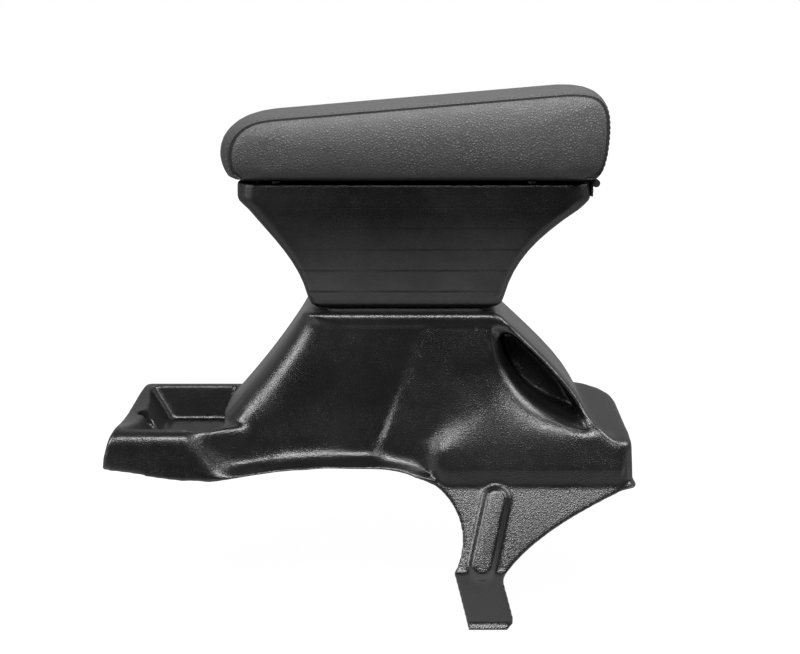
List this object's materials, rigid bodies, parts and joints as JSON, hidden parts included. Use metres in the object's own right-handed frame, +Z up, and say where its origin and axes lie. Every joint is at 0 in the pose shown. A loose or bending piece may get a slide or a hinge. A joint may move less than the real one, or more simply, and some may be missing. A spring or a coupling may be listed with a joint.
{
  "type": "car centre armrest",
  "caption": "Car centre armrest: formed base with front tray, side pocket and fixing leg straddles the tunnel and carries a flared storage box under a hinged padded lid.",
  "frame": {"origin": "on the middle plane of the neck, at the height of the crease where the lower near wall turns out into the leg, and at the picture's middle column", "axes": "+X to the rear of the car, +Y to the side away from the leg, +Z up"},
  "size_m": [0.4755, 0.2164, 0.4676],
  "materials": {
    "formed_sheet": "fine leather grain, satin",
    "box_plastic": "fine grain, satin",
    "spacer_plastic": "matte",
    "catch_plastic": "matte",
    "cover_leather": "pebbled leatherette, satin",
    "foam": "open foam",
    "plywood": "bare plywood",
    "lining": "non-woven lining",
    "mat": "matte",
    "buffer_rubber": "matte",
    "magnet": "sintered, matte",
    "steel": "zinc plated"
  },
  "bodies": {
    "base": {"base_shell": "formed_sheet", "front_fixing_screw": "steel", "neck_stiffener": "plywood", "box_spacer": "spacer_plastic", "box_shell": "box_plastic", "box_floor_mat": "mat", "box_bolts": "steel", "box_washers": "steel", "box_nuts": "steel", "hinge_box_leaf": "steel", "hinge_box_screws": "steel", "hinge_pin": "steel", "catch_housing": "catch_plastic", "catch_magnet": "magnet", "catch_screws": "steel"},
    "lid": {"hinge_lid_leaf": "steel", "hinge_lid_screws": "steel", "catch_strike": "steel", "strike_screws": "steel", "lid_board": "plywood", "lid_foam": "foam", "cover_top_panel": "cover_leather", "cover_near_panel": "cover_leather", "cover_far_panel": "cover_leather", "lid_lining": "lining", "lid_staples": "steel", "lid_buffers": "buffer_rubber"}
  },
  "joints": [
    {"name": "lid_hinge", "type": "hinge", "parent": "base", "child": "lid", "pos_m": [0.172, 0, 0.2636], "axis": [0, 1, 0], "range_deg": [0, 100]}
  ]
}
